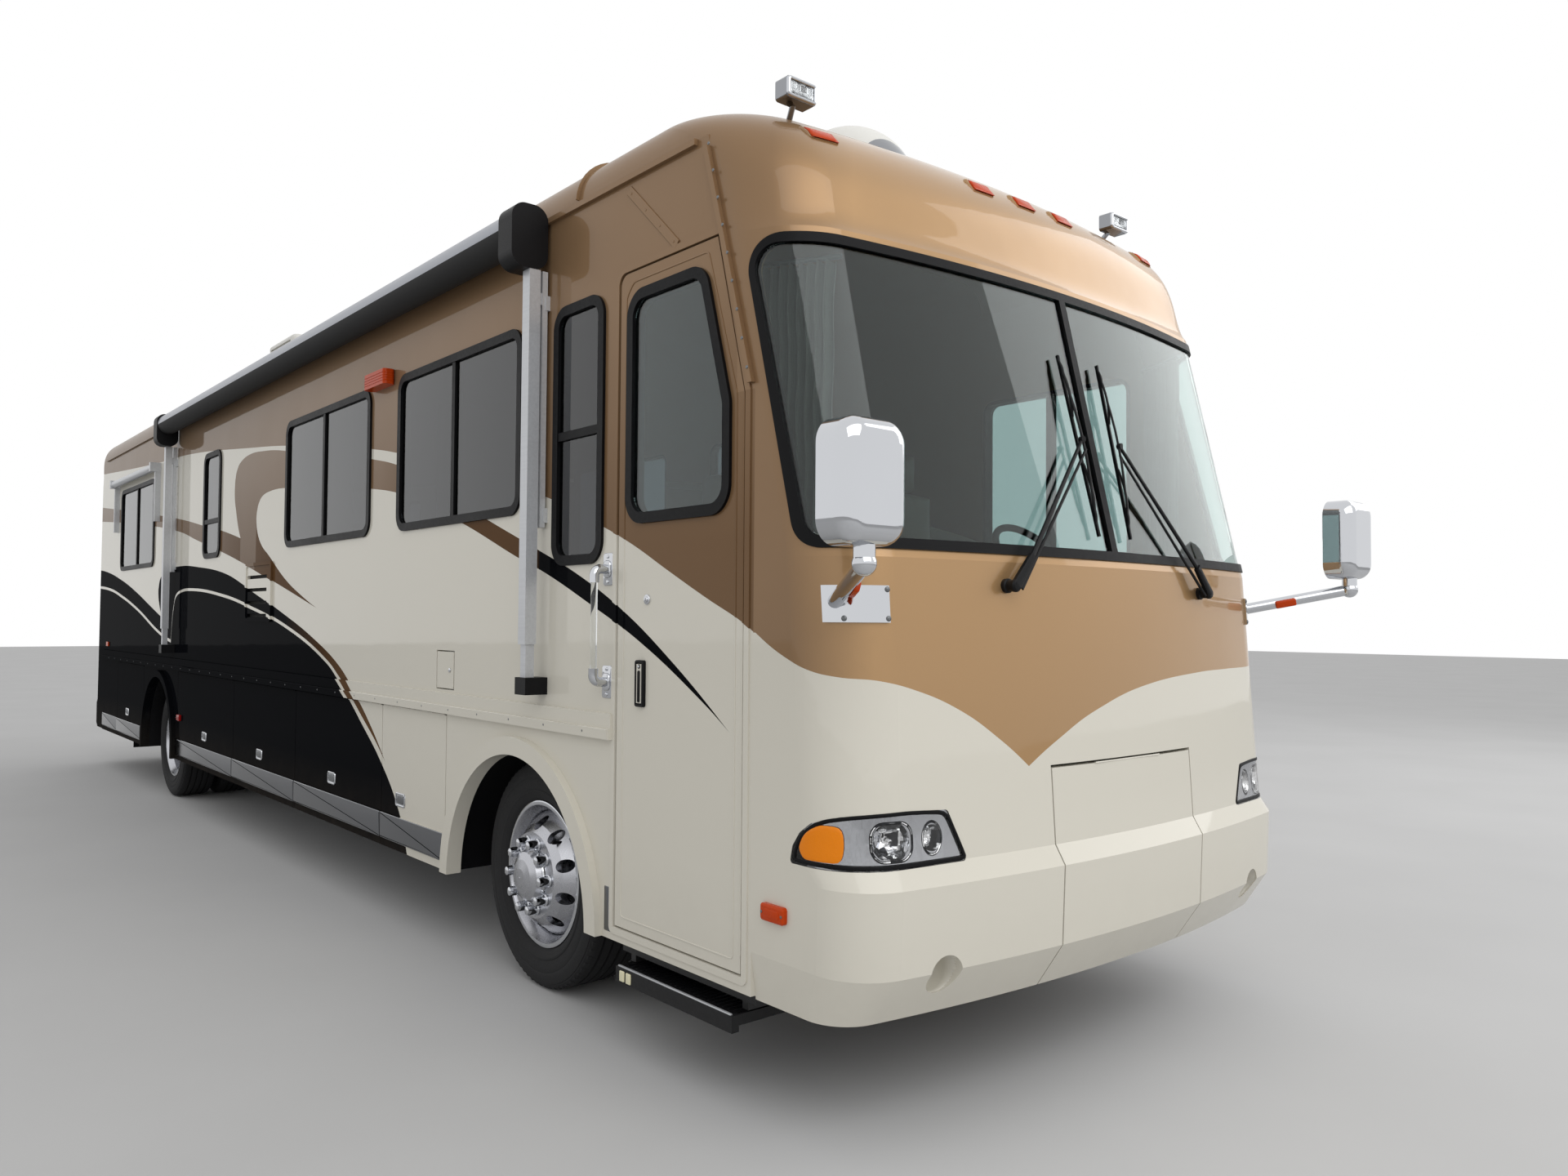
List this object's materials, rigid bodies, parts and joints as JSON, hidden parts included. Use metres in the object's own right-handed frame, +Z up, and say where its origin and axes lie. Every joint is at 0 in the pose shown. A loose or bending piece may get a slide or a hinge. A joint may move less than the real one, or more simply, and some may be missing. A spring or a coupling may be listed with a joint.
{
  "type": "motorhome",
  "caption": "Rear-engined coach-style motorhome with a raked windscreen, opening entry door, bay lids, steered front wheels and twin rear wheels.",
  "frame": {"origin": "on the ground at the middle of the overall box", "axes": "+Z up, -Y towards the nose, -X towards the entry door side"},
  "size_m": [3.17, 12.235, 3.68],
  "materials": {
    "body_paint": "gloss two-colour paint",
    "chassis_black": "satin",
    "cast_metal": "rough",
    "steel": "satin",
    "alloy": "polished",
    "chrome": "polished",
    "tyre": "matte",
    "rubber": "matte",
    "black_plastic": "matte",
    "white_plastic": "satin",
    "window_glass": "tinted",
    "screen_glass": "clear",
    "lamp_glass": "clear",
    "amber_lens": "gloss",
    "red_lens": "gloss",
    "floor_board": "satin",
    "interior": "matte",
    "trim_board": "satin",
    "awning_metal": "satin"
  },
  "bodies": {
    "coach_body": {"chassis_frame": "chassis_black", "hitch_receiver": "chassis_black", "front_axle": "cast_metal", "rear_axle": "cast_metal", "engine": "cast_metal", "underbody_tanks": "black_plastic", "floor": "floor_board", "bay_trays": "steel", "side_wall_right": "body_paint", "side_wall_left": "body_paint", "roof": "body_paint", "front_cap": "body_paint", "rear_cap": "body_paint", "windscreen_seal": "rubber", "windscreen_glass": "screen_glass", "headlamps": "chrome", "marker_lamps": "amber_lens", "tail_lamps": "red_lens", "mirrors": "chrome", "wipers": "black_plastic", "awning": "awning_metal", "awning_heads": "black_plastic", "headlamp_lenses": "lamp_glass", "roof_units": "white_plastic", "skirt_panels": "body_paint", "wheel_liners": "black_plastic", "cabin_interior": "trim_board", "grab_handle": "chrome", "furnishings": "interior", "window_frames": "rubber", "window_glass": "window_glass"},
    "entry_door": {"entry_door": "body_paint", "door_window_frame": "rubber", "door_window_glass": "window_glass"},
    "entry_step": {"entry_step": "chassis_black"},
    "front_hatch": {"front_hatch": "body_paint"},
    "engine_door": {"engine_door": "body_paint"},
    "fuel_flap": {"fuel_flap": "body_paint"},
    "bay_lid_right_1": {"bay_lid_right_1": "body_paint"},
    "bay_lid_right_2": {"bay_lid_right_2": "body_paint"},
    "bay_lid_right_3": {"bay_lid_right_3": "body_paint"},
    "bay_lid_right_4": {"bay_lid_right_4": "body_paint"},
    "bay_lid_right_5": {"bay_lid_right_5": "body_paint"},
    "bay_lid_left_1": {"bay_lid_left_1": "body_paint"},
    "bay_lid_left_2": {"bay_lid_left_2": "body_paint"},
    "bay_lid_left_3": {"bay_lid_left_3": "body_paint"},
    "knuckle_right": {"knuckle_right": "cast_metal"},
    "front_wheel_right": {"front_wheel_right": "alloy", "front_tyre_right": "tyre"},
    "rear_wheels_right": {"rear_wheels_right": "alloy", "rear_tyres_right": "tyre"},
    "knuckle_left": {"knuckle_left": "cast_metal"},
    "front_wheel_left": {"front_wheel_left": "alloy", "front_tyre_left": "tyre"},
    "rear_wheels_left": {"rear_wheels_left": "alloy", "rear_tyres_left": "tyre"}
  },
  "joints": [
    {"name": "entry_door_hinge", "type": "hinge", "parent": "coach_body", "child": "entry_door", "pos_m": [-1.2715, -5.305, 1.6], "axis": [0, 0, 1], "range_deg": [0, 90]},
    {"name": "entry_step_slide", "type": "slide", "parent": "coach_body", "child": "entry_step", "axis": [-1, 0, 0], "range_m": [0, 0.28]},
    {"name": "front_hatch_hinge", "type": "hinge", "parent": "coach_body", "child": "front_hatch", "pos_m": [0, -5.90638, 1.1045], "axis": [-1, 0, 0], "range_deg": [0, 70]},
    {"name": "engine_door_hinge", "type": "hinge", "parent": "coach_body", "child": "engine_door", "pos_m": [0, 6.0695, 1.7215], "axis": [1, 0, 0], "range_deg": [0, 75]},
    {"name": "fuel_flap_hinge", "type": "hinge", "parent": "coach_body", "child": "fuel_flap", "pos_m": [-1.27, -3.119, 1.338], "axis": [0, 0, 1], "range_deg": [0, 100]},
    {"name": "bay_lid_right_1_hinge", "type": "hinge", "parent": "coach_body", "child": "bay_lid_right_1", "pos_m": [-1.27, -2.6505, 1.1245], "axis": [0, 1, 0], "range_deg": [0, 80]},
    {"name": "bay_lid_right_2_hinge", "type": "hinge", "parent": "coach_body", "child": "bay_lid_right_2", "pos_m": [-1.27, -1.534, 1.1245], "axis": [0, 1, 0], "range_deg": [0, 80]},
    {"name": "bay_lid_right_3_hinge", "type": "hinge", "parent": "coach_body", "child": "bay_lid_right_3", "pos_m": [-1.27, -0.117, 1.1245], "axis": [0, 1, 0], "range_deg": [0, 80]},
    {"name": "bay_lid_right_4_hinge", "type": "hinge", "parent": "coach_body", "child": "bay_lid_right_4", "pos_m": [-1.27, 1.4235, 1.1245], "axis": [0, 1, 0], "range_deg": [0, 80]},
    {"name": "bay_lid_right_5_hinge", "type": "hinge", "parent": "coach_body", "child": "bay_lid_right_5", "pos_m": [-1.27, 4.1805, 1.1245], "axis": [0, 1, 0], "range_deg": [0, 80]},
    {"name": "bay_lid_left_1_hinge", "type": "hinge", "parent": "coach_body", "child": "bay_lid_left_1", "pos_m": [1.27, -1.534, 1.1245], "axis": [0, -1, 0], "range_deg": [0, 80]},
    {"name": "bay_lid_left_2_hinge", "type": "hinge", "parent": "coach_body", "child": "bay_lid_left_2", "pos_m": [1.27, -0.117, 1.1245], "axis": [0, -1, 0], "range_deg": [0, 80]},
    {"name": "bay_lid_left_3_hinge", "type": "hinge", "parent": "coach_body", "child": "bay_lid_left_3", "pos_m": [1.27, 1.4235, 1.1245], "axis": [0, -1, 0], "range_deg": [0, 80]},
    {"name": "steer_right", "type": "hinge", "parent": "coach_body", "child": "knuckle_right", "pos_m": [-0.891, -3.7645, 0.42], "axis": [0, 0, 1], "range_deg": [-38, 38]},
    {"name": "steer_left", "type": "hinge", "parent": "coach_body", "child": "knuckle_left", "pos_m": [0.891, -3.7645, 0.42], "axis": [0, 0, 1], "range_deg": [-38, 38]},
    {"name": "front_wheel_right_spin", "type": "hinge", "parent": "knuckle_right", "child": "front_wheel_right", "pos_m": [-1.026, -3.7645, 0.485], "axis": [1, 0, 0], "continuous": true},
    {"name": "rear_wheels_right_spin", "type": "hinge", "parent": "coach_body", "child": "rear_wheels_right", "pos_m": [-1.026, 2.9375, 0.485], "axis": [1, 0, 0], "continuous": true},
    {"name": "front_wheel_left_spin", "type": "hinge", "parent": "knuckle_left", "child": "front_wheel_left", "pos_m": [1.026, -3.7645, 0.485], "axis": [1, 0, 0], "continuous": true},
    {"name": "rear_wheels_left_spin", "type": "hinge", "parent": "coach_body", "child": "rear_wheels_left", "pos_m": [1.026, 2.9375, 0.485], "axis": [1, 0, 0], "continuous": true}
  ],
  "couplings": [
    {"joint": "steer_left", "follows": "steer_right", "ratio": 1}
  ]
}
